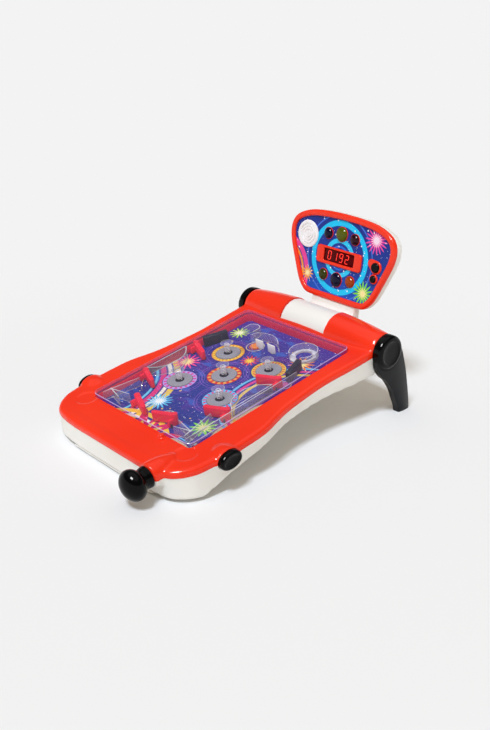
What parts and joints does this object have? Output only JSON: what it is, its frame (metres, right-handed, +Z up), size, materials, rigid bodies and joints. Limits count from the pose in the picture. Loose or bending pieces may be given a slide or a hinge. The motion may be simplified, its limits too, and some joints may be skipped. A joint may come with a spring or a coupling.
{
  "type": "tabletop pinball game",
  "caption": "Tabletop toy pinball game: sloped covered play board with bumpers and button-driven flippers, pull plunger, legs and a fold-down score head.",
  "frame": {"origin": "middle of the whole's bounding box at floor level", "axes": "+Z up, +Y from the player to the score head along the longest side, +X to the player's right"},
  "size_m": [0.317, 0.5026, 0.2642],
  "materials": {
    "red_case": "gloss",
    "white_case": "satin",
    "black_gloss": "gloss",
    "black_satin": "satin",
    "clear_plastic": "clear",
    "printed_board": "printed gloss",
    "flipper_red": "gloss",
    "steel": "bright",
    "cell_wrap": "satin",
    "circuit": "satin",
    "rubber_foot": "matte",
    "white_flap": "gloss",
    "dark_window": "gloss",
    "lamp_domes": "gloss"
  },
  "bodies": {
    "case": {"base_shell": "white_case", "top_shell": "red_case", "play_tray": "printed_board", "clear_cover": "clear_plastic", "battery_door": "white_case", "door_screw": "steel", "battery_1": "cell_wrap", "battery_2": "cell_wrap", "battery_3": "cell_wrap", "circuit_board": "circuit", "foot_left": "rubber_foot", "foot_right": "rubber_foot", "leg_left": "black_gloss", "leg_right": "black_gloss", "bumper_spring_1": "steel", "bumper_spring_2": "steel", "bumper_spring_3": "steel", "bumper_spring_4": "steel", "bumper_spring_5": "steel", "bumper_cap_1": "clear_plastic", "bumper_cap_2": "clear_plastic", "bumper_cap_3": "clear_plastic", "bumper_cap_4": "clear_plastic", "bumper_cap_5": "clear_plastic", "guide_hood": "clear_plastic", "guide_arch": "clear_plastic", "guide_left": "clear_plastic", "guide_right": "clear_plastic", "guide_front_left": "clear_plastic", "guide_front_right": "clear_plastic", "vortex_cup": "clear_plastic", "lane_wall": "clear_plastic", "deflector_left": "black_satin", "deflector_right": "black_satin", "plunger_spring": "steel", "return_spring_left": "steel", "return_spring_right": "steel"},
    "ball": {"steel_ball": "steel"},
    "plunger": {"plunger_knob": "black_gloss", "plunger_rod": "steel"},
    "button_left": {"button_cap_left": "black_gloss", "push_bar_left": "black_satin"},
    "button_right": {"button_cap_right": "black_gloss", "push_bar_right": "black_satin"},
    "flipper_left_1": {"flipper_left_1": "flipper_red"},
    "flipper_left_2": {"flipper_left_2": "flipper_red"},
    "flipper_left_3": {"flipper_left_3": "flipper_red"},
    "flipper_right_1": {"flipper_right_1": "flipper_red"},
    "flipper_right_2": {"flipper_right_2": "flipper_red"},
    "flipper_right_3": {"flipper_right_3": "flipper_red"},
    "target_left": {"target_left": "white_flap"},
    "target_right": {"target_right": "white_flap"},
    "head": {"head_case": "white_case", "head_bezel": "red_case", "head_panel": "printed_board", "display_window": "dark_window", "lamp_lens": "lamp_domes", "speaker_grille": "white_case"},
    "start_key": {"start_button": "black_gloss"},
    "mode_key": {"mode_button": "black_gloss"}
  },
  "joints": [
    {"name": "plunger_pull", "type": "slide", "parent": "case", "child": "plunger", "axis": [0, -0.9853, -0.1711], "range_m": [0, 0.025], "stiffness_N_per_m": 180, "springref_m": -0.02, "deforming": ["plunger_spring"]},
    {"name": "button_left_push", "type": "slide", "parent": "case", "child": "button_left", "axis": [1, 0, 0], "range_m": [0, 0.0065], "stiffness_N_per_m": 300, "springref_m": -0.004, "deforming": ["return_spring_left"]},
    {"name": "button_right_push", "type": "slide", "parent": "case", "child": "button_right", "axis": [-1, 0, 0], "range_m": [0, 0.0065], "stiffness_N_per_m": 300, "springref_m": -0.004, "deforming": ["return_spring_right"]},
    {"name": "ball_roll", "type": "slide", "parent": "case", "child": "ball", "axis": [0, 0.9853, 0.1711], "range_m": [0, 0.26]},
    {"name": "flipper_left_1_turn", "type": "hinge", "parent": "case", "child": "flipper_left_1", "pos_m": [-0.0535, -0.11302, 0.04614], "axis": [0, -0.1711, 0.9853], "range_deg": [0, 38]},
    {"name": "flipper_left_2_turn", "type": "hinge", "parent": "case", "child": "flipper_left_2", "pos_m": [-0.1003, -0.06307, 0.05481], "axis": [0, -0.1711, 0.9853], "range_deg": [0, 38]},
    {"name": "flipper_left_3_turn", "type": "hinge", "parent": "case", "child": "flipper_left_3", "pos_m": [-0.1003, 0.03142, 0.07122], "axis": [0, -0.1711, 0.9853], "range_deg": [0, 38]},
    {"name": "flipper_right_1_turn", "type": "hinge", "parent": "case", "child": "flipper_right_1", "pos_m": [0.0285, -0.11302, 0.04614], "axis": [0, 0.1711, -0.9853], "range_deg": [0, 38]},
    {"name": "flipper_right_2_turn", "type": "hinge", "parent": "case", "child": "flipper_right_2", "pos_m": [0.0765, -0.06307, 0.05481], "axis": [0, 0.1711, -0.9853], "range_deg": [0, 38]},
    {"name": "flipper_right_3_turn", "type": "hinge", "parent": "case", "child": "flipper_right_3", "pos_m": [0.0765, 0.03142, 0.07122], "axis": [0, 0.1711, -0.9853], "range_deg": [0, 38]},
    {"name": "target_left_tip", "type": "hinge", "parent": "case", "child": "target_left", "pos_m": [-0.026, 0.091, 0.08055], "axis": [-1, 0, 0], "range_deg": [0, 12], "stiffness_Nm_per_rad": 0.002, "springref_deg": -5.73},
    {"name": "target_right_tip", "type": "hinge", "parent": "case", "child": "target_right", "pos_m": [-0.001, 0.091, 0.08055], "axis": [-1, 0, 0], "range_deg": [0, 12], "stiffness_Nm_per_rad": 0.002, "springref_deg": -5.73},
    {"name": "head_fold", "type": "hinge", "parent": "case", "child": "head", "pos_m": [0, 0.17996, 0.10169], "axis": [1, 0, 0], "range_deg": [0, 100]},
    {"name": "start_press", "type": "slide", "parent": "head", "child": "start_key", "axis": [0, 0.9904, -0.1384], "range_m": [0, 0.0015], "stiffness_N_per_m": 400, "springref_m": -0.002},
    {"name": "mode_press", "type": "slide", "parent": "head", "child": "mode_key", "axis": [0, 0.9904, -0.1384], "range_m": [0, 0.0015], "stiffness_N_per_m": 400, "springref_m": -0.002}
  ],
  "couplings": [
    {"joint": "flipper_left_1_turn", "follows": "button_left_push", "rad_per_m": 101.9},
    {"joint": "flipper_left_2_turn", "follows": "button_left_push", "rad_per_m": 101.9},
    {"joint": "flipper_left_3_turn", "follows": "button_left_push", "rad_per_m": 101.9},
    {"joint": "flipper_right_1_turn", "follows": "button_right_push", "rad_per_m": 101.9},
    {"joint": "flipper_right_2_turn", "follows": "button_right_push", "rad_per_m": 101.9},
    {"joint": "flipper_right_3_turn", "follows": "button_right_push", "rad_per_m": 101.9}
  ]
}
